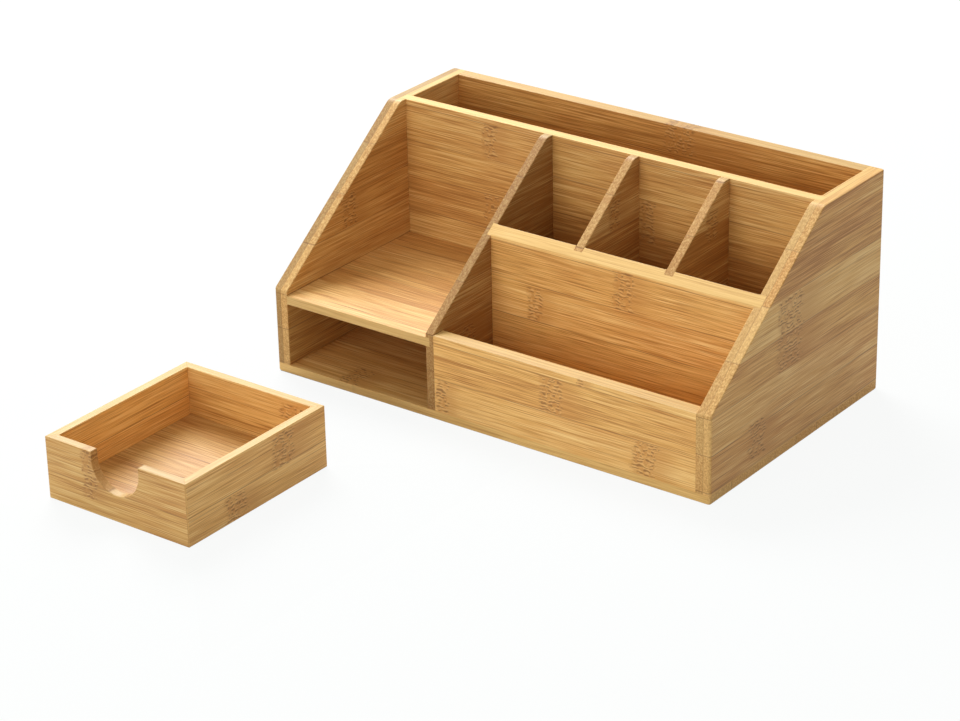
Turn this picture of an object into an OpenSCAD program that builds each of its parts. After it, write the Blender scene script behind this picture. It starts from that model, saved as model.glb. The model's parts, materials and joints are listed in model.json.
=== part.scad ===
// Bamboo desk organizer with a loose note tray.
// Units are millimetres. The origin is the centre of the organizer's underside,
// +X to the right, +Y to the back and +Z up. The tray is drawn pulled out to the front.

/* [Organizer] */
// Overall width
body_w = 325; // [280:1:380]
// Overall depth
body_d = 190; // [180:1:210]
// Overall height at the back
body_h = 146; // [130:1:170]
// Height of the front, where the slope starts
front_h = 56.5; // [56:0.5:70]
// Depth of the flat top behind the slope
top_d = 70; // [55:1:75]
// Radius of the upright outer corners
corner_r = 2; // [1:0.5:6]
// Radius that eases the corner between the slope and the flat top
brow_r = 9; // [3:0.5:12]

/* [Board thicknesses] */
// Left and right sides
side_t = 10; // [8:0.5:12]
// Front panel
front_t = 10; // [7:0.5:12]
// Back panel
back_t = 9; // [6:0.5:12]
// Wall in front of the rear slot
slot_wall_t = 7.5; // [6:0.5:9]
// Wall between the front compartment and the pen compartments
mid_wall_t = 7; // [6:0.5:9]
// Base board, shelf and dividers
thin_t = 6; // [5:0.5:8]

/* [Compartments] */
// Clear width of the tray bay and of the shelf above it
bay_w = 109.5; // [95:0.5:120]
// Clear height of the tray bay
bay_h = 42; // [41:0.5:43]
// Clear depth of the front compartment
front_bay_d = 50; // [40:1:56]
// Clear depth of the rear slot
slot_d = 48; // [44:1:52]
// Number of pen compartments
pen_cells = 3; // [2:1:3]

/* [Note tray] */
// Height of the tray
tray_h = 40; // [36:0.5:40]
// Thickness of the tray's boards
tray_t = 6; // [5:0.5:7]
// Clearance on each side of the tray in its bay
tray_side_gap = 0.75; // [0.5:0.05:1.5]
// Clearance behind the tray when it is in
tray_back_gap = 3; // [1:0.1:5]
// Clearance under the tray
tray_lift = 0.2; // [0.15:0.05:0.5]
// How far the tray is drawn out to the front
tray_out = 218; // [0:1:260]
// Width of the finger notch
notch_w = 36; // [24:1:44]
// Depth of the finger notch
notch_d = 23; // [18:0.5:26]

/* [Joinery] */
// Depth of a wall's housing in a side
side_housing = 4.5; // [2:0.5:6]
// Depth of a housing in a thin board or an inner wall
thin_housing = 3; // [1:0.5:4]
// Height of the tray floor's groove above the tray's lower edge
tray_groove_z = 2.5; // [1.5:0.5:5]
// Depth of the tray floor's groove
tray_groove = 3; // [1.5:0.5:4]
// Length of a base screw
screw_l = 18; // [12:1:25]
// Shank diameter of a base screw
screw_d = 3; // [2.5:0.1:3.5]
// Head diameter of a base screw
screw_head_d = 6; // [5:0.1:7]

/* [Hidden] */
$fn = 48;

// Places along X, Y and Z, counted from the left front bottom corner
slope_run = body_d - top_d;
slope_angle = atan2(body_h - front_h, slope_run);
divider_x = side_t + bay_w;
pens_x = divider_x + thin_t;
pens_w = body_w - side_t - pens_x;
pen_pitch = (pens_w + thin_t) / pen_cells;
slot_wall_y = body_d - back_t - slot_d - slot_wall_t;
mid_wall_y = front_t + front_bay_d;
shelf_z = thin_t + bay_h;

// The tray's own size, and its place in the organizer's frame
tray_w = bay_w - 2 * tray_side_gap;
tray_d = slot_wall_y - tray_back_gap;
tray_x = side_t + tray_side_gap;
tray_z = thin_t + tray_lift;

// Screw places, as [x, y] in the middle of the boards that stand on the base
screw_clearance = 0.05;
screw_head_h = (screw_head_d - screw_d) / 2;
screw_end = 25;
side_screw_ys = [screw_end, body_d / 2, body_d - screw_end];
back_screw_xs = [body_w / 4, body_w / 2, body_w * 3 / 4];
front_screw_xs = [pens_x + screw_end, body_w - side_t - screw_end];
screw_places = concat(
    [for (y = side_screw_ys, x = [side_t / 2, body_w - side_t / 2]) [x, y]],
    [for (x = back_screw_xs) [x, body_d - back_t / 2]],
    [for (x = front_screw_xs) [x, front_t / 2]]);

// A cut runs this far past the face it opens
past = 1;
wood = "burlywood";
dark_wood = "peru";
pale_wood = "wheat";

// Points of the eased corner between the slope and the flat top
brow_tangent = brow_r * tan(slope_angle / 2);
brow_points = [for (a = [90 + slope_angle : -slope_angle / 6 : 90 - 0.01])
    [slope_run + brow_tangent + brow_r * cos(a), body_h - brow_r + brow_r * sin(a)]];

// Outline of an upright board that runs from y0 to y1 and follows the slope, as [y, z]
module sloped_outline(y0, y1) {
    intersection() {
        polygon(concat([[0, thin_t], [0, front_h]], brow_points, [[body_d, body_h], [body_d, thin_t]]));
        translate([y0, 0]) square([y1 - y0, body_h + past]);
    }
}

// Upright board across X, with its left face at x
module sloped_board(x, thickness, y0, y1) {
    translate([x, 0, 0]) rotate([90, 0, 90])
        linear_extrude(thickness) sloped_outline(y0, y1);
}

// Plan of the whole organizer, with round upright corners
module rounded_plan(height) {
    linear_extrude(height) {
        translate([corner_r, 0]) square([body_w - 2 * corner_r, body_d]);
        translate([0, corner_r]) square([body_w, body_d - 2 * corner_r]);
        for (x = [corner_r, body_w - corner_r], y = [corner_r, body_d - corner_r])
            translate([x, y]) circle(corner_r);
    }
}

// Plain board given by its two corners
module board(low, high) {
    translate(low) cube(high - low);
}

// Moves the organizer's corner frame to the part's origin
module placed() {
    translate([-body_w / 2, -body_d / 2, 0]) children();
}

// Moves the tray's own frame to where the tray lies
module tray_placed() {
    placed() translate([tray_x, -tray_out, tray_z]) children();
}

// One countersunk screw that points up, with its head flush at z = 0
module screw_body(grow) {
    cylinder(h = screw_head_h, d1 = screw_head_d + 2 * grow, d2 = screw_d + 2 * grow);
    cylinder(h = screw_l + grow, d = screw_d + 2 * grow);
}

// Holes for all the screws
module screw_holes() {
    for (p = screw_places) translate([p[0], p[1], 0]) screw_body(screw_clearance);
}

// The walls' full extents, which also cut their housings
module slot_wall_space() {
    board([side_t - side_housing, slot_wall_y, thin_t],
          [body_w - side_t + side_housing, slot_wall_y + slot_wall_t, body_h]);
}

module mid_wall_space() {
    x0 = pens_x - thin_housing;
    x1 = body_w - side_t + side_housing;
    sloped_board(x0, x1 - x0, mid_wall_y, mid_wall_y + mid_wall_t);
}

module shelf_space() {
    board([side_t, 0, shelf_z], [divider_x + thin_housing, slot_wall_y, shelf_z + thin_t]);
}

module pen_divider_space(i) {
    sloped_board(pens_x + i * pen_pitch - thin_t, thin_t,
                 mid_wall_y + mid_wall_t - thin_housing, slot_wall_y);
}

module base_board() {
    color(wood) placed() difference() {
        rounded_plan(thin_t);
        screw_holes();
    }
}

// One side, with its outer upright corners rounded and the walls' housings cut
module side(x) {
    color(pale_wood) placed() difference() {
        intersection() {
            sloped_board(x, side_t, 0, body_d);
            rounded_plan(body_h + past);
        }
        slot_wall_space();
        mid_wall_space();
        screw_holes();
    }
}

module left_side() {
    side(0);
}

module right_side() {
    side(body_w - side_t);
}

module back_panel() {
    color(dark_wood) placed() difference() {
        board([side_t, body_d - back_t, thin_t], [body_w - side_t, body_d, body_h]);
        screw_holes();
    }
}

module slot_wall() {
    color(wood) placed() slot_wall_space();
}

module centre_divider() {
    color(pale_wood) placed() difference() {
        sloped_board(divider_x, thin_t, 0, slot_wall_y);
        shelf_space();
        mid_wall_space();
    }
}

module bay_shelf() {
    color(wood) placed() shelf_space();
}

module front_panel() {
    color(wood) placed() difference() {
        board([pens_x, 0, thin_t], [body_w - side_t, front_t, front_h]);
        screw_holes();
    }
}

module mid_wall() {
    color(wood) placed() difference() {
        mid_wall_space();
        for (i = [1 : pen_cells - 1]) pen_divider_space(i);
    }
}

module pen_divider_left() {
    color(pale_wood) placed() pen_divider_space(1);
}

module pen_divider_right() {
    color(pale_wood) placed() pen_divider_space(pen_cells - 1);
}

module base_screws() {
    slot_l = screw_head_d * 0.6;
    slot_w = 0.7;
    slot_h = 1;
    color("silver") placed() for (p = screw_places) translate([p[0], p[1], 0]) difference() {
        screw_body(0);
        for (a = [0, 90]) rotate(a) translate([-slot_l / 2, -slot_w / 2, -past])
            cube([slot_l, slot_w, slot_h + past]);
    }
}

// Upright tray board along X at the front of the tray, mitred at both ends
module mitred_board(length) {
    linear_extrude(tray_h)
        polygon([[0, 0], [length, 0], [length - tray_t, tray_t], [tray_t, tray_t]]);
}

// The tray floor's full extent, which also cuts its grooves
module tray_floor_space() {
    edge = tray_t - tray_groove;
    board([edge, edge, tray_groove_z],
          [tray_w - edge, tray_d - edge, tray_groove_z + tray_t]);
}

// Round-bottomed notch through the tray's front
module finger_notch() {
    notch_r = notch_w / 2;
    translate([tray_w / 2, tray_t + past, tray_h - notch_d + notch_r]) rotate([90, 0, 0])
        linear_extrude(tray_t + 2 * past) {
            circle(notch_r);
            translate([-notch_r, 0]) square([notch_w, notch_d - notch_r + past]);
        }
}

module tray_front() {
    color(wood) tray_placed() difference() {
        mitred_board(tray_w);
        tray_floor_space();
        finger_notch();
    }
}

module tray_back() {
    color(wood) tray_placed() difference() {
        translate([tray_w, tray_d, 0]) rotate(180) mitred_board(tray_w);
        tray_floor_space();
    }
}

module tray_left() {
    color(pale_wood) tray_placed() difference() {
        translate([0, tray_d, 0]) rotate(-90) mitred_board(tray_d);
        tray_floor_space();
    }
}

module tray_right() {
    color(pale_wood) tray_placed() difference() {
        translate([tray_w, 0, 0]) rotate(90) mitred_board(tray_d);
        tray_floor_space();
    }
}

module tray_bottom() {
    color(dark_wood) tray_placed() tray_floor_space();
}

base_board();
left_side();
right_side();
back_panel();
slot_wall();
centre_divider();
bay_shelf();
front_panel();
mid_wall();
pen_divider_left();
pen_divider_right();
base_screws();
tray_front();
tray_back();
tray_left();
tray_right();
tray_bottom();
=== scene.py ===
"""Bamboo desk organizer with a loose note tray: its boards, screws, bamboo finish and photo stage."""

import json
import math
from collections import namedtuple

import bmesh
import bpy
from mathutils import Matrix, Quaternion, Vector
from mathutils.bvhtree import BVHTree


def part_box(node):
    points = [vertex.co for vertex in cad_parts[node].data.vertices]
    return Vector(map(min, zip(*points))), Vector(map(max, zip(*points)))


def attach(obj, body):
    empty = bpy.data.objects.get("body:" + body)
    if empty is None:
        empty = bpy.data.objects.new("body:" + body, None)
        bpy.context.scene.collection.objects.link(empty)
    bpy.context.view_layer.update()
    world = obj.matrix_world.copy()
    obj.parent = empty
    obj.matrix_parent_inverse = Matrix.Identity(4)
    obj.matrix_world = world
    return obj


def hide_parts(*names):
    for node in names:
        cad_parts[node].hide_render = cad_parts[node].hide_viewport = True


bl_info = {
    "name": "Bamboo Desk Organizer",
    "version": (1, 0, 0),
    "blender": (4, 5, 0),
    "location": "3D View > Sidebar > Organizer",
    "description": "Builds the boards, screws and bamboo finish of a desk organizer with a note tray",
    "category": "Object",
}

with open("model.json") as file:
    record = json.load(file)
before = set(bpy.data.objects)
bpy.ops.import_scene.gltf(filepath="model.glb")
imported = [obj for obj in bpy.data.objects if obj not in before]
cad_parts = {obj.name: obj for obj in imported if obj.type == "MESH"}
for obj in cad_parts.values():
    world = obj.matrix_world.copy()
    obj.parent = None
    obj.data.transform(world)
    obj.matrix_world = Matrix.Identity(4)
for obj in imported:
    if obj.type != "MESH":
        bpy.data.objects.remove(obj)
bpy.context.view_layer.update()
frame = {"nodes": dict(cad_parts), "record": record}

MM = 0.001

# Parts of a board's surface turn at least this much where they meet at an arris
ARRIS_ANGLE = math.radians(25)
# Faces closer to flat than this are one face
FLAT_ANGLE = math.radians(0.5)
# Points of the construction mesh closer than this are one point
WELD = 0.002 * MM
# Two boards, or a board and the desk, touch if they are closer than this
TOUCH = 0.1 * MM
# A point this far outside an arris tells whether the arris lies in a joint
JOINT_REACH = 0.4 * MM
# No stretch of a split arris is shorter than this share of the fade
SHORTEST_STRETCH = 0.6
# A joint is looked for this share of the fade ahead of and behind an arris's middle
LOOK_AHEAD = 0.9
# Rays that count a board's surfaces run in a direction that no board has
RAY = Vector((0.36, 0.48, 0.8))
RAY_STEP = 0.01 * MM

# A patch where the bamboo's nodes show in a strip: its centre along the grain and across the
# strips, its length along the grain and its height across it, all in the object's own millimetres
Knuckle = namedtuple("Knuckle", "along across length height")

# How a board is cut from bamboo: the axes of its grain, its strips and its thickness, where a strip
# starts in millimetres, its tone, how brown it is, its knuckles, the tone of its long edges, how many
# plies it has and the tone of the first ply. A brown above 1 is painted shade: it mixes the dark fibre
# colour into the whole board
Cut = namedtuple(
    "Cut", "grain strips through start tone brown knuckles edge_tone plies first_tone",
    defaults=((), 1, 1, 1))

WALL = ("X", "Z", "Y")
SIDE = ("Y", "Z", "X")
FLOOR = ("X", "Y", "Z")

CUTS = {
    "base_board": Cut(*FLOOR, start=-95.5, tone=1.1, brown=0.3, edge_tone=0.95, knuckles=[
        Knuckle(-107, -84, 14, 22),
        Knuckle(60, 12, 15, 23)]),
    "left_side": Cut(*SIDE, start=7, tone=0.95, brown=0.4, plies=2, first_tone=0.68, knuckles=[
        Knuckle(-30, 90, 14, 23),
        Knuckle(52, 42, 15, 23)]),
    "right_side": Cut(
        *SIDE, start=7.5, tone=1.03, brown=0.15, edge_tone=1.12, plies=2, first_tone=0.9, knuckles=[
            Knuckle(-10, 79, 26, 46),
            Knuckle(-45, 23, 16, 24)]),
    "back_panel": Cut(*WALL, start=8, tone=1.03, brown=0.35, edge_tone=0.8, knuckles=[
        Knuckle(21, 137, 22, 19),
        Knuckle(-70, 66, 16, 23)]),
    "slot_wall": Cut(*WALL, start=0, tone=0.94, brown=0.42, edge_tone=1.18, knuckles=[
        Knuckle(-85.5, 131, 11, 24),
        Knuckle(-84.7, 85, 12, 20),
        Knuckle(35, 104, 10, 28)]),
    # The centre divider's low tone and brown above 1 are painted shade: its face in view turns away from
    # the key light and lies in shade
    "centre_divider": Cut(*SIDE, start=9, tone=0.63, brown=1.4, edge_tone=1.1, knuckles=[
        Knuckle(-60, 40, 14, 22)]),
    "bay_shelf": Cut(*FLOOR, start=-87, tone=1.02, brown=0.5, edge_tone=0.82),
    "front_panel": Cut(*WALL, start=4.5, tone=1.11, brown=0.05, edge_tone=0.8, plies=3, knuckles=[
        Knuckle(-31, 17, 8.5, 22),
        Knuckle(50, 40, 16, 23),
        Knuckle(72, 54, 6, 5),
        Knuckle(117, 17, 16, 23)]),
    "mid_wall": Cut(*WALL, start=4.5, tone=1.12, brown=-0.08, edge_tone=0.94, knuckles=[
        Knuckle(-4.5, 63, 11, 22),
        Knuckle(61, 88, 14, 26)]),
    # The pen dividers' low tones and browns above 1 are painted shade as well, for the shade on their faces
    # in view
    "pen_divider_left": Cut(*SIDE, start=11, tone=0.85, brown=1.3, knuckles=[
        Knuckle(4, 118, 12, 22)]),
    "pen_divider_right": Cut(*SIDE, start=3, tone=0.83, brown=1.2, knuckles=[
        Knuckle(12, 122, 12, 20)]),
    "tray_front": Cut(*WALL, start=0.6, tone=0.8, brown=0.2, knuckles=[
        Knuckle(-118, 31, 10, 32)]),
    "tray_back": Cut(*WALL, start=10, tone=1.0, brown=0, edge_tone=0.93, knuckles=[
        Knuckle(-63, 38, 20, 10)]),
    # The tray's left side is paler and less brown as painted light: its inner face, which turns away from
    # the key light, is kept as bright as a lit face
    "tray_left": Cut(*SIDE, start=4, tone=1.2, brown=-0.25, edge_tone=0.8),
    "tray_right": Cut(*SIDE, start=0.5, tone=1.14, brown=0, edge_tone=0.84, knuckles=[
        Knuckle(-229, 34, 19, 22),
        Knuckle(-272, 12, 18, 22)]),
    "tray_bottom": Cut(*FLOOR, start=-310.5, tone=0.87, brown=0.1),
}

# Noise in the bamboo: how often it changes in a millimetre, along the fibres and across them, how
# many finer layers it has and how strong they are, and how far it moves what it acts on
Pattern = namedtuple("Pattern", "along across detail roughness reach", defaults=(1, 0.5, 1))

FINE = Pattern(0.03, 2.0, 2, 0.55, 2.6)
LINES = Pattern(0.01, 0.7, 2, 0.55, 0.85)
BANDS = Pattern(0.005, 0.17, reach=0.7)
BROAD = Pattern(0.014, 0.04, reach=1.6)
THREADS = Pattern(0.022, 1.3)
SPECKS = Pattern(0.25, 0.95, 2, 0.7)
# The fibres' own bend, and the waver of the rows of dashes in a knuckle, both in millimetres
BEND = Pattern(0.014, 0.07, 2, reach=0.7)
WAVER = Pattern(0.2, 0.3, reach=3.6)
BLOTCHES = Pattern(0.28, 0.22)
# The middle of a knuckle sways along the grain, in millimetres, by where it is across the strips
SWAY = Pattern(0, 0.13, 3, reach=14.0)
# Where a knuckle fades out: past its strip in millimetres, and along the grain as shares of half its
# length, for the patch of marks and for the flare beside it
STRIP_MARGIN = (-0.9, 0.3)
PATCH_FADE = (0.75, 1.25)
FLARE_FADE = (0.2, 2.6)

# Values of the noise between which a thread, speck, dash, blotch or open seam fades in or out
THREAD_LEVELS = (0.59, 0.68)
DARK_SPECK_LEVELS = (0.5, 0.64)
PALE_SPECK_LEVELS = (0.36, 0.5)
DASH_LEVELS = (0.38, 0.58)
BLOTCH_LEVELS = (0.4, 0.65)
OPEN_SEAM_LEVELS = (0.3, 0.6)

# How squarely a face cuts the fibres, from none at 0 to square at 1, where the end grain fades in,
# and the same for the long edge
END_TURN = (0.2, 0.45)
EDGE_TURN = (0.42, 0.66)

# Far steps between strips, so that no two of them share a pattern, in millimetres
STRIP_STEP = Vector((900.0, 370.0, 410.0))
# How far a strip's own chance moves its tone, its warmth, and the tone of its long edge
STRIP_TONE = 0.52
STRIP_WARMTH = 0.7
STRIP_EDGE_TONE = 0.5
# How much of the dark or pale colour one unit of tone brings, on a face and on a long edge
FACE_CONTRAST = 1.6
EDGE_CONTRAST = 0.9
# How much of its colour each mark shows
THREAD_SHARE = 0.45
DARK_SPECK_SHARE = 0.75
PALE_SPECK_SHARE = 0.6
EDGE_SHARE = 0.8
END_SHARE = 0.9
DARK_DASH_SHARE = 0.82
PALE_DASH_SHARE = 0.4
FLARE_SHARE = 0.5
# The least that a blotch covers, and how much more the noise adds
BLOTCH_SHARE = (0.4, 0.4)
# How much of the warm colour is in the brown of a knuckle
KNUCKLE_WARMTH = 0.6
# How much the board's brown and the strip's chance warm the end grain
END_WARMTH = 0.35
END_STRIP_WARMTH = 0.6
# How much of the end grain a strip's chance can make pale, and how much less on a brown board
END_PALENESS = 0.34
END_PALENESS_LOSS = -0.2

# Distance from one row of dashes to the next, in millimetres
ROW_PITCH = 2.2
# How often the dashes in a row change in a millimetre, and the steps between the rows' patterns
DASHES = 0.42
ROW_STEP = (17.3, 5.1)
# Where in a row, from 0 to 1, the dark dash and the pale one under it fade in and out
DARK_ROW = ((0.0, 0.22), (0.34, 0.58))
PALE_ROW = ((0.5, 0.68), (0.8, 1.0))

# Where a seam's line fades out, as distances from its middle in millimetres
STRIP_SEAM = (0.05, 0.42)
END_SEAM = (0.05, 0.38)
PLY_SEAM = (0.05, 0.45)
# Places through the board, counted in plies, between which an inner ply seam fades in
INNER_PLY = (0.5, 0.6)
# How often a strip's seam opens and closes in a millimetre, and the step between the seams' patterns
SEAM_ALONG = 0.02
SEAM_STEP = 7.7
STRIP_SEAM_SHARE = 0.75
END_SEAM_SHARE = 0.6
PLY_SEAM_SHARE = 0.35
# A place through the board stays this far inside its first and last ply
PLY_INSET = 0.01

# How the fibres, end grain and dashes change the roughness, and the height in the relief
FIBRE_ROUGHNESS = -0.25
END_ROUGHNESS = 0.12
DASH_ROUGHNESS = 0.08
THREAD_HEIGHT = -0.3
DASH_HEIGHT = -0.06
SEAM_HEIGHT = -0.9
BAMBOO_SPECULAR = 0.35

# Scuffs on the steel: how often they change in a metre, their finer layers, and what they do to it
SCUFFS = (1500.0, 1500.0, 700.0)
SCUFF_DETAIL = (3.0, 0.6)
SCUFF_LEVELS = (0.5, 0.7)
SCUFF_DEPTH = 0.02 * MM
SCUFF_ROUGHNESS = 0.2
SCUFFED_TONE = 0.6

# The floor is grey to the object, so that it throws little light up, and glows to the camera
FLOOR_TO_OBJECT = (0.55, 0.55, 0.55, 1)
FLOOR_GLOW = 0.93
FLOOR_SIZE = 6.0
FLOOR_DROP = 0.02 * MM
# The low mound of floor under the drawn tray: its gap to the tray, its rim and its slope
PAD_GAP = 0.1 * MM
PAD_RIM = 4 * MM
PAD_SLOPE = 80 * MM

LAMP_SIZE = 1.1
KEY_PLACE = (-1.0, 0.6, 1.3)
FRONT_PLACE = (-0.2, -1.85, 0.42)
LIT_POINT = (0, 0, 0.05)


def millimetres(value):
    """A length in millimetres as Blender's metres."""
    return value * MM


class OrganizerEdges(bpy.types.PropertyGroup):
    """Sizes of the rounded and tight edges."""

    arris: bpy.props.FloatProperty(
        name="Arris", description="Rounding of an open edge",
        default=millimetres(0.6), min=0.0, unit="LENGTH")
    foot: bpy.props.FloatProperty(
        name="Foot", description="Rounding of the base board's lower edge, the widest one",
        default=millimetres(1.2), min=0.0, unit="LENGTH")
    joint: bpy.props.FloatProperty(
        name="Joint", description="Tiny easing of an edge that lies against another board",
        default=millimetres(0.12), min=0.0, unit="LENGTH")
    fade: bpy.props.FloatProperty(
        name="Fade", description="Length over which an open edge runs into a joint",
        default=millimetres(1.0), min=0.0, unit="LENGTH")
    segments: bpy.props.IntProperty(
        name="Segments", description="Faces across a rounded edge", default=3, min=1, max=6)


class OrganizerBamboo(bpy.types.PropertyGroup):
    """Colours and sizes of the bamboo."""

    body: bpy.props.FloatVectorProperty(
        name="Body", description="Main tone of the bamboo",
        subtype="COLOR", size=3, min=0, max=1, default=(0.74, 0.42, 0.118))
    # The dark fibre colour is also the painted shade that a brown above 1 mixes into the dividers, and is
    # redder for that
    dark: bpy.props.FloatVectorProperty(
        name="Dark fibre", description="Tone of the darkest fibres",
        subtype="COLOR", size=3, min=0, max=1, default=(0.40, 0.168, 0.036))
    pale: bpy.props.FloatVectorProperty(
        name="Pale fibre", description="Tone of the palest fibres",
        subtype="COLOR", size=3, min=0, max=1, default=(0.87, 0.585, 0.225))
    warm: bpy.props.FloatVectorProperty(
        name="Warm strip", description="Tone of the strips and patches that are more brown",
        subtype="COLOR", size=3, min=0, max=1, default=(0.64, 0.31, 0.078))
    edge: bpy.props.FloatVectorProperty(
        name="Board edge", description="Tone of the long edge of a board",
        subtype="COLOR", size=3, min=0, max=1, default=(0.73, 0.465, 0.15))
    end: bpy.props.FloatVectorProperty(
        name="End grain", description="Tone where the fibres are cut across",
        subtype="COLOR", size=3, min=0, max=1, default=(0.575, 0.335, 0.1))
    knuckle: bpy.props.FloatVectorProperty(
        name="Knuckle", description="Tone of the marks at the bamboo's nodes, and of the seams",
        subtype="COLOR", size=3, min=0, max=1, default=(0.27, 0.12, 0.035))
    strip_width: bpy.props.FloatProperty(
        name="Strip width", description="Width of one bamboo strip",
        default=millimetres(23.7), min=0.0, unit="LENGTH")
    roughness: bpy.props.FloatProperty(
        name="Roughness", description="Mean roughness of the satin finish",
        subtype="FACTOR", default=0.46, min=0, max=1)
    relief: bpy.props.FloatProperty(
        name="Relief", description="Depth of the grain and the knuckles in the surface",
        default=millimetres(0.06), min=0.0, unit="LENGTH")


class OrganizerSteel(bpy.types.PropertyGroup):
    """Finish of the base screws."""

    colour: bpy.props.FloatVectorProperty(
        name="Steel", description="Colour of the screws",
        subtype="COLOR", size=3, min=0, max=1, default=(0.62, 0.62, 0.63))
    roughness: bpy.props.FloatProperty(
        name="Roughness", description="Mean roughness of the screws",
        subtype="FACTOR", default=0.34, min=0, max=1)


class OrganizerStage(bpy.types.PropertyGroup):
    """Camera, lights and floor."""

    aim: bpy.props.FloatVectorProperty(
        name="Aim", description="Point that the camera looks at",
        subtype="TRANSLATION", unit="LENGTH", size=3, default=(-0.02045, -0.07047, 0.03481))
    azimuth: bpy.props.FloatProperty(
        name="Azimuth", description="How far the camera stands round to the right",
        subtype="ANGLE", default=math.radians(37.346))
    elevation: bpy.props.FloatProperty(
        name="Elevation", description="How far the camera stands above the horizon",
        subtype="ANGLE", default=math.radians(25.132))
    roll: bpy.props.FloatProperty(
        name="Roll", description="How far the camera leans to the right",
        subtype="ANGLE", default=math.radians(1.291))
    distance: bpy.props.FloatProperty(
        name="Distance", description="From the camera to its aim",
        default=1.900, min=0.1, unit="LENGTH")
    lens: bpy.props.FloatProperty(
        name="Lens", description="Focal length on a 36 mm sensor, in millimetres",
        default=116.84, min=10)
    floor: bpy.props.FloatVectorProperty(
        name="Floor", description="Colour of the floor",
        subtype="COLOR", size=3, min=0, max=1, default=(0.97, 0.98, 0.975))
    key: bpy.props.FloatProperty(
        name="Key light", description="Power of the large light above the back left",
        default=35.0, min=0, unit="POWER")
    front: bpy.props.FloatProperty(
        name="Front light", description="Power of the low light in front",
        default=13.0, min=0, unit="POWER")
    sky: bpy.props.FloatProperty(
        name="Sky", description="Strength of the even light from all round", default=0.5, min=0)


class Graph:
    """Adds nodes to one node tree and links them."""

    def __init__(self, tree):
        self.tree = tree

    def add(self, kind, **settings):
        made = self.tree.nodes.new(kind)
        for name, value in settings.items():
            setattr(made, name, value)
        return made

    def feed(self, socket, source):
        """Links a socket to another, or sets its value."""
        if isinstance(source, bpy.types.NodeSocket):
            self.tree.links.new(source, socket)
        else:
            socket.default_value = source

    def group(self, tree, values):
        """Adds a node group with its inputs fed by name, and gives its outputs."""
        made = self.add("ShaderNodeGroup", node_tree=tree)
        for name, value in values.items():
            self.feed(made.inputs[name], value)
        return made.outputs

    def math(self, operation, *sources, clamp=False):
        made = self.add("ShaderNodeMath", operation=operation, use_clamp=clamp)
        for socket, source in zip(made.inputs, sources):
            self.feed(socket, source)
        return made.outputs["Value"]

    def minus(self, first, second):
        return self.math("SUBTRACT", first, second)

    def times(self, first, *others):
        for other in others:
            first = self.math("MULTIPLY", first, other)
        return first

    def part(self, source, share, base, clamp=False):
        """A base value with a share of another added."""
        return self.math("MULTIPLY_ADD", source, share, base, clamp=clamp)

    def swing(self, source, reach, base=0.0, clamp=False):
        """A base value moved up and down by a source between 0 and 1."""
        return self.part(self.minus(source, 0.5), reach, base, clamp)

    def rise(self, source, low, high):
        """A smooth step from 0 at low to 1 at high."""
        made = self.add("ShaderNodeMapRange", interpolation_type="SMOOTHSTEP")
        self.feed(made.inputs["Value"], source)
        self.feed(made.inputs["From Min"], low)
        self.feed(made.inputs["From Max"], high)
        return made.outputs["Result"]

    def fall(self, source, low, high):
        """A smooth step from 1 at low to 0 at high."""
        return self.minus(1.0, self.rise(source, low, high))

    def to_nearest_whole(self, source):
        """How far a fraction between 0 and 1 is from the nearer of the two."""
        return self.math("MINIMUM", source, self.minus(1.0, source))

    def vector(self, operation, *sources):
        made = self.add("ShaderNodeVectorMath", operation=operation)
        for socket, source in zip(made.inputs, sources):
            self.feed(socket, source)
        return made.outputs["Vector"]

    def split(self, vector):
        made = self.add("ShaderNodeSeparateXYZ")
        self.feed(made.inputs["Vector"], vector)
        return made.outputs["X"], made.outputs["Y"], made.outputs["Z"]

    def join(self, *parts):
        made = self.add("ShaderNodeCombineXYZ")
        for socket, source in zip(made.inputs, parts):
            self.feed(socket, source)
        return made.outputs["Vector"]

    def noise(self, vector, detail=1.0, roughness=0.5):
        made = self.add("ShaderNodeTexNoise")
        self.feed(made.inputs["Vector"], vector)
        made.inputs["Scale"].default_value = 1.0
        made.inputs["Detail"].default_value = detail
        made.inputs["Roughness"].default_value = roughness
        return made.outputs["Fac"]

    def pattern(self, pattern, place):
        """Noise that is long along the grain and short across it."""
        scale = (pattern.along, pattern.across, pattern.across)
        return self.noise(self.vector("MULTIPLY", place, scale), pattern.detail, pattern.roughness)

    def mix(self, factor, first, second, blend="MIX"):
        made = self.add("ShaderNodeMix", data_type="RGBA", blend_type=blend)
        colour_a, colour_b = made.inputs[6], made.inputs[7]
        self.feed(made.inputs[0], factor)
        self.feed(colour_a, first)
        self.feed(colour_b, second)
        return made.outputs[2]


def new_group(name, inputs, outputs):
    """An empty shader node group with the named sockets, and its graph, input and output nodes."""
    tree = bpy.data.node_groups.new(name, "ShaderNodeTree")
    for in_out, sockets in (("INPUT", inputs), ("OUTPUT", outputs)):
        for kind, names in sockets.items():
            for socket_name in names:
                tree.interface.new_socket(
                    name=socket_name, in_out=in_out, socket_type="NodeSocket" + kind)
    graph = Graph(tree)
    entry = graph.add("NodeGroupInput")
    leave = graph.add("NodeGroupOutput")
    return tree, graph, entry.outputs, leave.inputs


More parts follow.
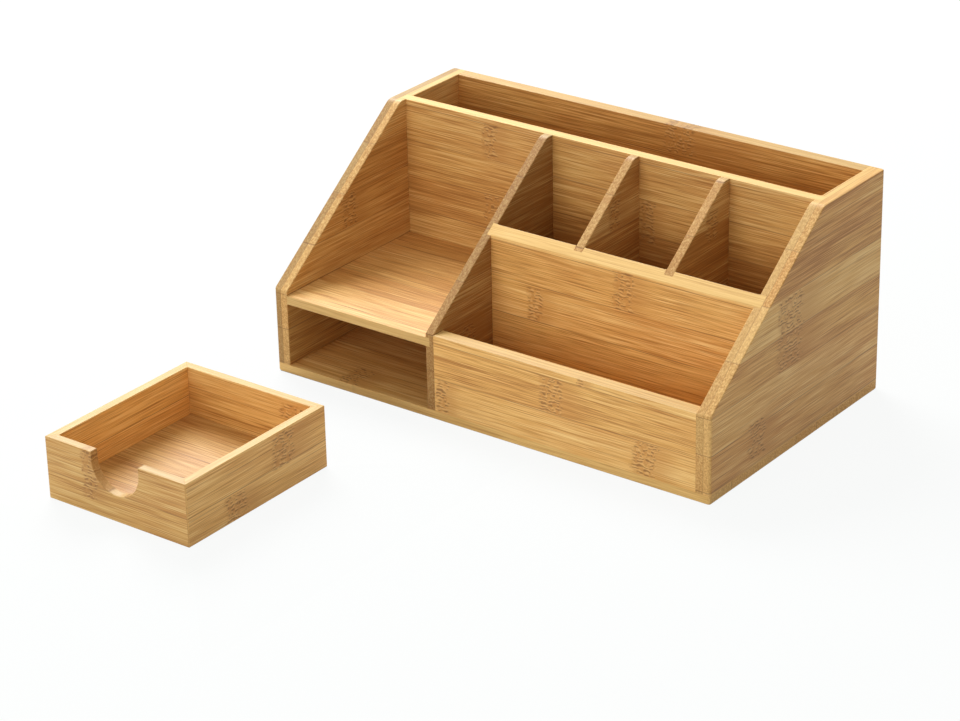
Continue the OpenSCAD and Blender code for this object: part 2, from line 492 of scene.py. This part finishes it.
def knuckle_group():
    """Masks of one knuckle, the patch of marks and the brown flare beside it, added to those given."""
    name = "Bamboo knuckle"
    if name in bpy.data.node_groups:
        return bpy.data.node_groups[name]
    tree, graph, given, result = new_group(
        name,
        {"Vector": ("Position",),
         "Float": ("Along", "Across", "Length", "Height", "Patch", "Flare")},
        {"Float": ("Patch", "Flare")})
    along, across, _ = graph.split(given["Position"])
    sway = graph.noise(graph.join(0.0, graph.times(across, SWAY.across), given["Along"]), SWAY.detail)
    from_centre = graph.swing(sway, SWAY.reach, graph.minus(along, given["Along"]))
    half_length = graph.times(given["Length"], 0.5)
    half_height = graph.times(given["Height"], 0.5)
    upward = graph.math("ABSOLUTE", graph.minus(across, given["Across"]))
    inside_strip = graph.fall(graph.minus(upward, half_height), *STRIP_MARGIN)
    sideways = graph.math("DIVIDE", graph.math("ABSOLUTE", from_centre), half_length)
    patch = graph.times(graph.fall(sideways, *PATCH_FADE), inside_strip)
    beside = graph.math("DIVIDE", graph.minus(from_centre, half_length), half_length)
    flare = graph.times(graph.fall(graph.math("ABSOLUTE", beside), *FLARE_FADE), inside_strip)
    graph.feed(result["Patch"], graph.math("MAXIMUM", patch, given["Patch"]))
    graph.feed(result["Flare"], graph.math("MAXIMUM", flare, given["Flare"]))
    return tree


class BambooNodes:
    """The nodes of laminated bamboo as a solid: strips, plies, fibres, ends, knuckles and seams."""

    def __init__(self, name):
        self.tree, self.graph, self.given, self.result = new_group(
            name,
            {"Vector": ("Position", "Normal"),
             "Float": ("Strip Width", "Strip Start", "Ply Thickness", "Ply Start", "Plies", "Seed",
                       "Tone", "Brown", "First Ply Tone", "Edge Tone", "Patch", "Flare", "Roughness"),
             "Color": ("Body", "Dark", "Pale", "Warm", "Edge", "End", "Knuckle")},
            {"Color": ("Color",), "Float": ("Roughness", "Height")})
        self.along, self.across, self.through = self.graph.split(self.given["Position"])
        self.find_strip()
        self.find_fibre()
        self.colour_face()
        self.colour_edges()
        self.colour_ends()
        self.mark_knuckles()
        self.mark_seams()
        self.set_tone()
        self.set_surface()

    def paint(self, share, colour):
        """Mixes a colour into the bamboo."""
        self.colour = self.graph.mix(share, self.colour, colour)

    def find_strip(self):
        """Which strip and ply a point is in, and three random numbers for that strip."""
        graph, given = self.graph, self.given
        across = graph.minus(self.across, given["Strip Start"])
        self.strip = graph.math("DIVIDE", across, given["Strip Width"])
        through = graph.minus(self.through, given["Ply Start"])
        ply = graph.math("DIVIDE", through, given["Ply Thickness"])
        ply = graph.math("MAXIMUM", ply, PLY_INSET)
        self.ply = graph.math("MINIMUM", ply, graph.minus(given["Plies"], PLY_INSET))
        self.ply_number = graph.math("FLOOR", self.ply)
        chance = graph.add("ShaderNodeTexWhiteNoise", noise_dimensions="3D")
        which = graph.join(graph.math("FLOOR", self.strip), self.ply_number, given["Seed"])
        graph.feed(chance.inputs["Vector"], which)
        self.chances = graph.split(chance.outputs["Color"])

    def find_fibre(self):
        """A place among the fibres, which bend a little and differ from strip to strip."""
        graph = self.graph
        bend = graph.noise(graph.join(
            graph.times(self.along, BEND.along), graph.times(self.across, BEND.across),
            self.chances[0]), BEND.detail)
        bent = graph.swing(bend, BEND.reach, self.across)
        self.fibre = graph.join(*[
            graph.part(chance, step, place)
            for chance, step, place in zip(self.chances, STRIP_STEP, (self.along, bent, self.through))])

    def colour_face(self):
        """The broad face of a board: warm and plain strips, dark and pale fibres, dark threads, and painted
        shade on a board browner than 1.
        """
        graph, given = self.graph, self.given
        first, _, third = self.chances
        self.fine = graph.pattern(FINE, self.fibre)
        tone = graph.swing(self.fine, FINE.reach)
        for pattern in (LINES, BANDS):
            tone = graph.swing(graph.pattern(pattern, self.fibre), pattern.reach, tone)
        self.tone = graph.swing(first, STRIP_TONE, tone)
        warmth = graph.part(third, STRIP_WARMTH, given["Brown"])
        warmth = graph.swing(graph.pattern(BROAD, self.fibre), BROAD.reach, warmth, clamp=True)
        self.colour = graph.mix(warmth, given["Body"], given["Warm"])
        # A brown above 1 mixes the dark fibre colour into the whole face: painted shade, which darkens the
        # dividers whose faces lie in shade
        self.paint(graph.math("SUBTRACT", given["Brown"], 1.0, clamp=True), given["Dark"])
        self.paint(graph.math("MULTIPLY", self.tone, -FACE_CONTRAST, clamp=True), given["Dark"])
        self.paint(graph.math("MULTIPLY", self.tone, FACE_CONTRAST, clamp=True), given["Pale"])
        self.thread = graph.rise(graph.pattern(THREADS, self.fibre), *THREAD_LEVELS)
        self.paint(graph.times(self.thread, THREAD_SHARE), given["Dark"])

    def colour_edges(self):
        """The long edge of a board, cut along the fibres."""
        graph, given = self.graph, self.given
        end_way, edge_way, _ = graph.split(graph.vector("ABSOLUTE", given["Normal"]))
        self.on_end = graph.rise(end_way, *END_TURN)
        self.on_edge = graph.times(graph.rise(edge_way, *EDGE_TURN), graph.minus(1.0, self.on_end))
        tone = graph.swing(self.chances[1], STRIP_EDGE_TONE, self.tone)
        colour = graph.mix(
            graph.math("MULTIPLY", tone, -EDGE_CONTRAST, clamp=True), given["Edge"], given["Dark"])
        colour = graph.mix(
            graph.math("MULTIPLY", tone, EDGE_CONTRAST, clamp=True), colour, given["Pale"])
        self.paint(graph.times(self.on_edge, EDGE_SHARE), colour)

    def colour_ends(self):
        """The end grain, cut across the fibres: speckled, and pale or brown by the strip."""
        graph, given = self.graph, self.given
        first, second, _ = self.chances
        specks = graph.pattern(SPECKS, self.fibre)
        dark_specks = graph.rise(specks, *DARK_SPECK_LEVELS)
        pale_specks = graph.fall(specks, *PALE_SPECK_LEVELS)
        warmth = graph.part(
            given["Brown"], END_WARMTH, graph.times(second, END_STRIP_WARMTH), clamp=True)
        paleness = graph.part(given["Brown"], END_PALENESS_LOSS, END_PALENESS, clamp=True)
        colour = graph.mix(warmth, given["End"], given["Warm"])
        colour = graph.mix(graph.times(dark_specks, DARK_SPECK_SHARE), colour, given["Dark"])
        colour = graph.mix(graph.times(pale_specks, PALE_SPECK_SHARE), colour, given["Pale"])
        colour = graph.mix(graph.times(first, paleness), colour, given["Pale"])
        self.paint(graph.times(self.on_end, END_SHARE), colour)

    def mark_knuckles(self):
        """Rows of short wavy dashes, each dark with a pale one under it, in a brown patch and flare."""
        graph, given = self.graph, self.given
        waver = graph.pattern(WAVER, given["Position"])
        rows = graph.math("DIVIDE", graph.part(waver, WAVER.reach, self.across), ROW_PITCH)
        row = graph.math("FLOOR", rows)
        in_row = graph.math("FRACT", rows)
        step_along, step_across = ROW_STEP
        dash = graph.noise(graph.join(
            graph.part(row, step_along, graph.times(self.along, DASHES)),
            graph.times(row, step_across), given["Seed"]))
        dash = graph.times(graph.rise(dash, *DASH_LEVELS), given["Patch"])
        dark_row, pale_row = [
            graph.times(graph.rise(in_row, *starts), graph.fall(in_row, *ends))
            for starts, ends in (DARK_ROW, PALE_ROW)]
        self.dark_dash = graph.times(dash, dark_row)
        pale_dash = graph.times(dash, pale_row)
        least, more = BLOTCH_SHARE
        blotch = graph.rise(graph.pattern(BLOTCHES, given["Position"]), *BLOTCH_LEVELS)
        in_patch = graph.times(given["Patch"], graph.part(blotch, more, least))
        in_flare = graph.times(given["Flare"], FLARE_SHARE)
        brown = graph.mix(KNUCKLE_WARMTH, given["Dark"], given["Warm"])
        self.paint(graph.math("MAXIMUM", in_flare, in_patch), brown)
        self.paint(graph.times(self.dark_dash, DARK_DASH_SHARE), given["Knuckle"])
        self.paint(graph.times(pale_dash, PALE_DASH_SHARE), given["Pale"])

    def mark_seams(self):
        """Thin dark lines between strips, open only here and there, and between plies."""
        graph, given = self.graph, self.given
        strip_gap = graph.times(
            graph.to_nearest_whole(graph.math("FRACT", self.strip)), given["Strip Width"])
        ply_gap = graph.times(
            graph.to_nearest_whole(graph.math("FRACT", self.ply)), given["Ply Thickness"])
        inner = graph.times(
            graph.rise(self.ply, *INNER_PLY), graph.rise(graph.minus(given["Plies"], self.ply), *INNER_PLY))
        openness = graph.noise(graph.join(
            graph.times(self.along, SEAM_ALONG),
            graph.times(graph.math("ROUND", self.strip), SEAM_STEP), given["Seed"]))
        on_face = graph.times(graph.fall(strip_gap, *STRIP_SEAM), graph.rise(openness, *OPEN_SEAM_LEVELS))
        on_end = graph.times(graph.fall(strip_gap, *END_SEAM), self.on_end, END_SEAM_SHARE)
        between_strips = graph.times(graph.math("MAXIMUM", on_face, on_end), STRIP_SEAM_SHARE)
        between_plies = graph.times(graph.fall(ply_gap, *PLY_SEAM), inner, PLY_SEAM_SHARE)
        self.seam = graph.math("MAXIMUM", between_strips, between_plies)
        self.paint(self.seam, given["Knuckle"])

    def set_tone(self):
        """The board's own tone, that of its first ply and that of its long edges."""
        graph, given = self.graph, self.given
        first_ply = graph.minus(1.0, graph.math("MINIMUM", self.ply_number, 1.0))
        ply_tone = graph.part(first_ply, graph.minus(given["First Ply Tone"], 1.0), 1.0)
        edge_tone = graph.part(self.on_edge, graph.minus(given["Edge Tone"], 1.0), 1.0)
        tone = graph.times(given["Tone"], ply_tone, edge_tone)
        toned = graph.mix(1.0, self.colour, graph.join(tone, tone, tone), "MULTIPLY")
        graph.feed(self.result["Color"], toned)

    def set_surface(self):
        """The roughness, and the height of the relief."""
        graph = self.graph
        rough = graph.swing(self.fine, FIBRE_ROUGHNESS, self.given["Roughness"])
        rough = graph.part(self.on_end, END_ROUGHNESS, rough)
        rough = graph.part(self.dark_dash, DASH_ROUGHNESS, rough)
        graph.feed(self.result["Roughness"], rough)
        height = graph.part(self.thread, THREAD_HEIGHT, self.fine)
        height = graph.part(self.dark_dash, DASH_HEIGHT, height)
        height = graph.part(self.seam, SEAM_HEIGHT, height)
        graph.feed(self.result["Height"], height)


def bamboo_group():
    """The node group of laminated bamboo, built once."""
    name = "Laminated bamboo"
    if name in bpy.data.node_groups:
        return bpy.data.node_groups[name]
    return BambooNodes(name).tree


def new_material(name):
    """An empty node material and its graph."""
    material = bpy.data.materials.new(name)
    material.use_nodes = True
    material.node_tree.nodes.clear()
    return material, Graph(material.node_tree)


def bamboo_material(node, wood):
    """The bamboo of one board, with the grain, strips and knuckles of its own cut."""
    cut = CUTS[node]
    low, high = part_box(node)
    through = "XYZ".index(cut.through)
    thickness = (high[through] - low[through]) / MM
    material, graph = new_material("bamboo " + node.replace("_", " "))
    place = graph.add("ShaderNodeTexCoord")
    axes = (cut.grain, cut.strips, cut.through)

    def along_axes(vector):
        """A vector with its parts along the grain, across the strips and through the board."""
        parts = dict(zip("XYZ", graph.split(vector)))
        return graph.join(*[parts[axis] for axis in axes])

    in_millimetres = graph.add("ShaderNodeMapping", vector_type="POINT")
    in_millimetres.inputs["Scale"].default_value = (1 / MM, 1 / MM, 1 / MM)
    graph.feed(in_millimetres.inputs["Vector"], place.outputs["Object"])
    position = along_axes(in_millimetres.outputs["Vector"])
    masks = {"Patch": 0.0, "Flare": 0.0}
    for knuckle in cut.knuckles:
        marks = graph.group(knuckle_group(), {
            "Position": position,
            "Along": float(knuckle.along),
            "Across": float(knuckle.across),
            "Length": float(knuckle.length),
            "Height": float(knuckle.height),
            **masks,
        })
        masks = {"Patch": marks["Patch"], "Flare": marks["Flare"]}

    bamboo = graph.group(bamboo_group(), {
        "Position": position,
        "Normal": along_axes(place.outputs["Normal"]),
        "Strip Width": wood.strip_width / MM,
        "Strip Start": float(cut.start),
        "Ply Thickness": thickness / cut.plies,
        "Ply Start": low[through] / MM,
        "Plies": float(cut.plies),
        "Seed": float(list(CUTS).index(node)) + 0.5,
        "Tone": float(cut.tone),
        "Brown": float(cut.brown),
        "First Ply Tone": float(cut.first_tone),
        "Edge Tone": float(cut.edge_tone),
        **masks,
        "Body": (*wood.body, 1),
        "Dark": (*wood.dark, 1),
        "Pale": (*wood.pale, 1),
        "Warm": (*wood.warm, 1),
        "Edge": (*wood.edge, 1),
        "End": (*wood.end, 1),
        "Knuckle": (*wood.knuckle, 1),
        "Roughness": wood.roughness,
    })
    relief = graph.add("ShaderNodeBump")
    relief.inputs["Strength"].default_value = 1.0
    relief.inputs["Distance"].default_value = wood.relief
    graph.feed(relief.inputs["Height"], bamboo["Height"])
    surface = graph.add("ShaderNodeBsdfPrincipled")
    surface.inputs["Specular IOR Level"].default_value = BAMBOO_SPECULAR
    graph.feed(surface.inputs["Base Color"], bamboo["Color"])
    graph.feed(surface.inputs["Roughness"], bamboo["Roughness"])
    graph.feed(surface.inputs["Normal"], relief.outputs["Normal"])
    output = graph.add("ShaderNodeOutputMaterial")
    graph.feed(output.inputs["Surface"], surface.outputs["BSDF"])
    return material


def steel_material(steel):
    """Turned steel of the screws, with a little wear."""
    material, graph = new_material("screw steel")
    place = graph.add("ShaderNodeTexCoord")
    scuffs = graph.noise(graph.vector("MULTIPLY", place.outputs["Object"], SCUFFS), *SCUFF_DETAIL)
    worn = graph.rise(scuffs, *SCUFF_LEVELS)
    bright = (*steel.colour, 1)
    dull = (*[SCUFFED_TONE * part for part in steel.colour], 1)
    relief = graph.add("ShaderNodeBump")
    relief.inputs["Distance"].default_value = SCUFF_DEPTH
    graph.feed(relief.inputs["Height"], scuffs)
    surface = graph.add("ShaderNodeBsdfPrincipled")
    surface.inputs["Metallic"].default_value = 1.0
    graph.feed(surface.inputs["Base Color"], graph.mix(worn, bright, dull))
    graph.feed(surface.inputs["Roughness"], graph.swing(scuffs, SCUFF_ROUGHNESS, steel.roughness))
    graph.feed(surface.inputs["Normal"], relief.outputs["Normal"])
    output = graph.add("ShaderNodeOutputMaterial")
    graph.feed(output.inputs["Surface"], surface.outputs["BSDF"])
    return material


def body_of(node):
    """The body that a node rides on."""
    for body, members in frame["record"]["behaviour"]["bodies"].items():
        if node in members:
            return body
    raise RuntimeError(node + " is on no body")


def touching(node):
    """The other nodes on the same body whose boxes touch this node's box."""
    low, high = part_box(node)
    found = []
    for other in frame["record"]["behaviour"]["bodies"][body_of(node)]:
        other_low, other_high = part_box(other)
        gaps = [max(other_low[i] - high[i], low[i] - other_high[i]) for i in range(3)]
        if other != node and max(gaps) < TOUCH:
            found.append(other)
    return found


class Neighbour:
    """A board or screw beside another one, which can say whether a point is inside it."""

    def __init__(self, node):
        self.low, self.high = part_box(node)
        shape = bmesh.new()
        shape.from_mesh(frame["nodes"][node].data)
        self.tree = BVHTree.FromBMesh(shape)
        shape.free()

    def holds(self, point):
        """Whether a ray from the point leaves the board once more than it enters it."""
        if any(not self.low[i] < point[i] < self.high[i] for i in range(3)):
            return False
        hits = 0
        start = point
        while True:
            hit, _, _, _ = self.tree.ray_cast(start, RAY)
            if hit is None:
                return hits % 2 == 1
            hits += 1
            start = hit + RAY * RAY_STEP


def is_sharp(edge):
    """Whether two faces meet sharply at an edge."""
    return len(edge.link_faces) == 2 and edge.calc_face_angle(0) > ARRIS_ANGLE


def is_arris(edge):
    """Whether two faces meet sharply and outwards at an edge."""
    return is_sharp(edge) and edge.is_convex


def split_beside_neighbours(shape, node, fade):
    """Splits the board's arrises where a neighbour starts or ends, so that they can change there."""
    limits = []
    for other in touching(node):
        if other != "base_screws":
            other_low, other_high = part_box(other)
            for axis in range(3):
                limits.append((axis, other_low[axis], -fade))
                limits.append((axis, other_high[axis], fade))
    for edge in [edge for edge in shape.edges if is_arris(edge)]:
        start, end = edge.verts
        run = end.co - start.co
        spare = SHORTEST_STRETCH * fade / run.length
        shares = set()
        for axis, limit, step in limits:
            if abs(run[axis]) > 0.5 * run.length:
                for place in (limit, limit + step):
                    shares.add(round((place - start.co[axis]) / run[axis], 6))
        done = 0.0
        for share in sorted(shares):
            if done + spare < share < 1 - spare:
                _, start = bmesh.utils.edge_split(edge, start, (share - done) / (1 - done))
                done = share


def weigh_arrises(shape, node, edges):
    """Gives every arris its rounding, as a share of the widest one, and marks inner corners sharp."""
    neighbours = [Neighbour(other) for other in touching(node)]
    weights = shape.edges.layers.float.new("bevel_weight_edge")
    for edge in shape.edges:
        if is_sharp(edge) and not edge.is_convex:
            edge.smooth = False
        if not is_arris(edge):
            continue
        middle = (edge.verts[0].co + edge.verts[1].co) / 2
        ahead = (edge.verts[1].co - edge.verts[0].co).normalized() * LOOK_AHEAD * edges.fade
        first, second = (face.normal for face in edge.link_faces)
        tests = [middle + JOINT_REACH * way + shift
                 for way in (first - second, second - first, first + second)
                 for shift in (-ahead, Vector(), ahead)]
        in_joint = any(beside.holds(point) for beside in neighbours for point in tests)
        lowest = node == "base_board" and middle.z < TOUCH
        width = edges.joint if in_joint else edges.foot if lowest else edges.arris
        edge[weights] = width / edges.foot


def add_board(node, context):
    """Builds one finished board in the place of its construction node."""
    edges = context.scene.organizer_edges
    wood = context.scene.organizer_bamboo
    shape = bmesh.new()
    shape.from_mesh(frame["nodes"][node].data)
    bmesh.ops.remove_doubles(shape, verts=shape.verts, dist=WELD)
    bmesh.ops.dissolve_limit(shape, angle_limit=FLAT_ANGLE, verts=shape.verts, edges=shape.edges)
    split_beside_neighbours(shape, node, edges.fade)
    weigh_arrises(shape, node, edges)
    for face in shape.faces:
        face.smooth = True
    mesh = bpy.data.meshes.new(node + "_bamboo")
    shape.to_mesh(mesh)
    shape.free()
    mesh.materials.append(bamboo_material(node, wood))
    board = bpy.data.objects.new(node + "_bamboo", mesh)
    context.scene.collection.objects.link(board)
    bevel = board.modifiers.new("Arrises", "BEVEL")
    bevel.affect = "EDGES"
    bevel.limit_method = "WEIGHT"
    bevel.width = edges.foot
    bevel.segments = edges.segments
    bevel.profile = 0.5
    bevel.material = -1
    bevel.use_clamp_overlap = False
    normals = board.modifiers.new("Flat faces", "WEIGHTED_NORMAL")
    normals.weight = 100
    normals.keep_sharp = True
    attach(board, body_of(node))
    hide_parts(node)


class BoardOperator:
    """Builds the boards named in its list."""

    nodes = ()

    def execute(self, context):
        for node in self.nodes:
            add_board(node, context)
        return {"FINISHED"}


class ORGANIZER_OT_base(BoardOperator, bpy.types.Operator):
    """Build the base board that everything stands on"""

    bl_idname = "organizer.base"
    bl_label = "Base board"
    nodes = ("base_board",)


class ORGANIZER_OT_sides(BoardOperator, bpy.types.Operator):
    """Build the two sloped sides"""

    bl_idname = "organizer.sides"
    bl_label = "Sides"
    nodes = ("left_side", "right_side")


class ORGANIZER_OT_walls(BoardOperator, bpy.types.Operator):
    """Build the back panel, the slot wall, the middle wall and the front panel"""

    bl_idname = "organizer.walls"
    bl_label = "Walls"
    nodes = ("back_panel", "slot_wall", "mid_wall", "front_panel")


class ORGANIZER_OT_dividers(BoardOperator, bpy.types.Operator):
    """Build the centre divider and the two pen dividers"""

    bl_idname = "organizer.dividers"
    bl_label = "Dividers"
    nodes = ("centre_divider", "pen_divider_left", "pen_divider_right")


class ORGANIZER_OT_shelf(BoardOperator, bpy.types.Operator):
    """Build the shelf over the tray bay"""

    bl_idname = "organizer.shelf"
    bl_label = "Shelf"
    nodes = ("bay_shelf",)


class ORGANIZER_OT_tray(BoardOperator, bpy.types.Operator):
    """Build the note tray: four mitred boards round a floor"""

    bl_idname = "organizer.tray"
    bl_label = "Note tray"
    nodes = ("tray_front", "tray_back", "tray_left", "tray_right", "tray_bottom")


class ORGANIZER_OT_screws(bpy.types.Operator):
    """Give the base screws their steel"""

    bl_idname = "organizer.screws"
    bl_label = "Base screws"

    def execute(self, context):
        screws = frame["nodes"]["base_screws"]
        screws.data.materials.clear()
        screws.data.materials.append(steel_material(context.scene.organizer_steel))
        return {"FINISHED"}


def seen_directly(graph):
    """1 where the camera, a reflection or a view through glass meets a surface, and 0 for light."""
    path = graph.add("ShaderNodeLightPath")
    seen = graph.math("MAXIMUM", path.outputs["Is Camera Ray"], path.outputs["Is Glossy Ray"])
    return graph.math("MAXIMUM", seen, path.outputs["Is Transmission Ray"])


def floor_material(stage):
    """A floor that looks nearly white, keeps soft shadows and throws little light up."""
    material, graph = new_material("floor")
    matt = graph.add("ShaderNodeBsdfDiffuse")
    matt.inputs["Color"].default_value = FLOOR_TO_OBJECT
    pale = graph.add("ShaderNodeBsdfDiffuse")
    pale.inputs["Color"].default_value = (*stage.floor, 1)
    glow = graph.add("ShaderNodeEmission")
    glow.inputs["Color"].default_value = (*stage.floor, 1)
    shown = graph.add("ShaderNodeMixShader")
    shown.inputs["Fac"].default_value = FLOOR_GLOW
    graph.feed(shown.inputs[1], pale.outputs["BSDF"])
    graph.feed(shown.inputs[2], glow.outputs["Emission"])
    both = graph.add("ShaderNodeMixShader")
    graph.feed(both.inputs["Fac"], seen_directly(graph))
    graph.feed(both.inputs[1], matt.outputs["BSDF"])
    graph.feed(both.inputs[2], shown.outputs["Shader"])
    output = graph.add("ShaderNodeOutputMaterial")
    graph.feed(output.inputs["Surface"], both.outputs["Shader"])
    return material


def object_from(shape, name, material, context):
    """Makes an object of a finished shape, and frees the shape."""
    mesh = bpy.data.meshes.new(name)
    shape.to_mesh(mesh)
    shape.free()
    mesh.materials.append(material)
    made = bpy.data.objects.new(name, mesh)
    context.scene.collection.objects.link(made)
    return made


def add_floor(stage, context):
    """A plain pale floor, with a low mound under the drawn tray."""
    material = floor_material(stage)
    shape = bmesh.new()
    bmesh.ops.create_grid(shape, x_segments=1, y_segments=1, size=FLOOR_SIZE / 2)
    bmesh.ops.translate(shape, verts=shape.verts, vec=(0, 0, -FLOOR_DROP))
    floor = object_from(shape, "floor", material, context)

    low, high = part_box("tray_front")
    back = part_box("tray_back")[1].y
    top = low.z - PAD_GAP
    middle = Vector(((low.x + high.x) / 2, (low.y + back) / 2, top / 2))
    size = (high.x - low.x + 2 * PAD_RIM, back - low.y + 2 * PAD_RIM, top)
    shape = bmesh.new()
    bmesh.ops.create_cube(shape, size=1)
    bmesh.ops.scale(shape, verts=shape.verts, vec=size)
    bmesh.ops.translate(shape, verts=shape.verts, vec=middle)
    for vertex in shape.verts:
        if vertex.co.z < middle.z:
            vertex.co.x += math.copysign(PAD_SLOPE, vertex.co.x - middle.x)
            vertex.co.y += math.copysign(PAD_SLOPE, vertex.co.y - middle.y)
    pad = object_from(shape, "tray_pad", material, context)


def add_world(stage, context):
    """Even soft light from all round, which shows as white."""
    world = bpy.data.worlds.new("studio")
    world.use_nodes = True
    world.node_tree.nodes.clear()
    graph = Graph(world.node_tree)
    white = graph.add("ShaderNodeBackground")
    white.inputs["Color"].default_value = (*stage.floor, 1)
    light = graph.add("ShaderNodeBackground")
    light.inputs["Color"].default_value = (1, 1, 1, 1)
    light.inputs["Strength"].default_value = stage.sky
    both = graph.add("ShaderNodeMixShader")
    graph.feed(both.inputs["Fac"], seen_directly(graph))
    graph.feed(both.inputs[1], light.outputs["Background"])
    graph.feed(both.inputs[2], white.outputs["Background"])
    output = graph.add("ShaderNodeOutputWorld")
    graph.feed(output.inputs["Surface"], both.outputs["Shader"])
    context.scene.world = world


def add_lamp(name, power, place, context):
    """A large soft lamp at a place, turned to the organizer."""
    lamp = bpy.data.lights.new(name, "AREA")
    lamp.shape = "DISK"
    lamp.size = LAMP_SIZE
    lamp.energy = power
    holder = bpy.data.objects.new(name, lamp)
    holder.location = place
    holder.rotation_mode = "QUATERNION"
    holder.rotation_quaternion = (Vector(LIT_POINT) - Vector(place)).to_track_quat("-Z", "Y")
    context.scene.collection.objects.link(holder)


def add_camera(stage, context):
    """The camera at the photograph's viewing angle."""
    camera = bpy.data.cameras.new("camera")
    camera.sensor_width = 36
    camera.lens = stage.lens
    holder = bpy.data.objects.new("camera", camera)
    level = math.cos(stage.elevation)
    back = Vector((
        math.sin(stage.azimuth) * level, -math.cos(stage.azimuth) * level, math.sin(stage.elevation)))
    holder.location = Vector(stage.aim) + back * stage.distance
    holder.rotation_mode = "QUATERNION"
    upright = (-back).to_track_quat("-Z", "Y")
    holder.rotation_quaternion = upright @ Quaternion((0, 0, 1), -stage.roll)
    context.scene.collection.objects.link(holder)
    context.scene.camera = holder


class ORGANIZER_OT_stage(bpy.types.Operator):
    """Set up the camera, the lights and the pale floor"""

    bl_idname = "organizer.stage"
    bl_label = "Stage"

    def execute(self, context):
        stage = context.scene.organizer_stage
        add_camera(stage, context)
        add_floor(stage, context)
        add_world(stage, context)
        add_lamp("key", stage.key, KEY_PLACE, context)
        add_lamp("front", stage.front, FRONT_PLACE, context)
        context.scene.view_settings.view_transform = "Standard"
        return {"FINISHED"}


class ORGANIZER_PT_panel(bpy.types.Panel):
    """Buttons for every step, in the order in which they are used"""

    bl_idname = "ORGANIZER_PT_panel"
    bl_label = "Desk organizer"
    bl_space_type = "VIEW_3D"
    bl_region_type = "UI"
    bl_category = "Organizer"

    def draw(self, context):
        for operator in OPERATORS:
            self.layout.operator(operator.bl_idname, text=operator.bl_label)
        for name, group in GROUPS.items():
            box = self.layout.box()
            values = getattr(context.scene, name)
            for value in group.__annotations__:
                box.prop(values, value)


GROUPS = {
    "organizer_edges": OrganizerEdges,
    "organizer_bamboo": OrganizerBamboo,
    "organizer_steel": OrganizerSteel,
    "organizer_stage": OrganizerStage,
}
OPERATORS = (
    ORGANIZER_OT_base, ORGANIZER_OT_sides, ORGANIZER_OT_walls, ORGANIZER_OT_dividers,
    ORGANIZER_OT_shelf, ORGANIZER_OT_tray, ORGANIZER_OT_screws, ORGANIZER_OT_stage)


def register():
    for name, group in GROUPS.items():
        bpy.utils.register_class(group)
        setattr(bpy.types.Scene, name, bpy.props.PointerProperty(type=group))
    for operator in OPERATORS:
        bpy.utils.register_class(operator)
    bpy.utils.register_class(ORGANIZER_PT_panel)


def unregister():
    bpy.utils.unregister_class(ORGANIZER_PT_panel)
    for operator in reversed(OPERATORS):
        bpy.utils.unregister_class(operator)
    for name, group in GROUPS.items():
        delattr(bpy.types.Scene, name)
        bpy.utils.unregister_class(group)


def main():
    register()
    bpy.ops.organizer.base()
    bpy.ops.organizer.sides()
    bpy.ops.organizer.walls()
    bpy.ops.organizer.dividers()
    bpy.ops.organizer.shelf()
    bpy.ops.organizer.tray()
    bpy.ops.organizer.screws()
    bpy.ops.organizer.stage()


if __name__ == "__main__":
    main()
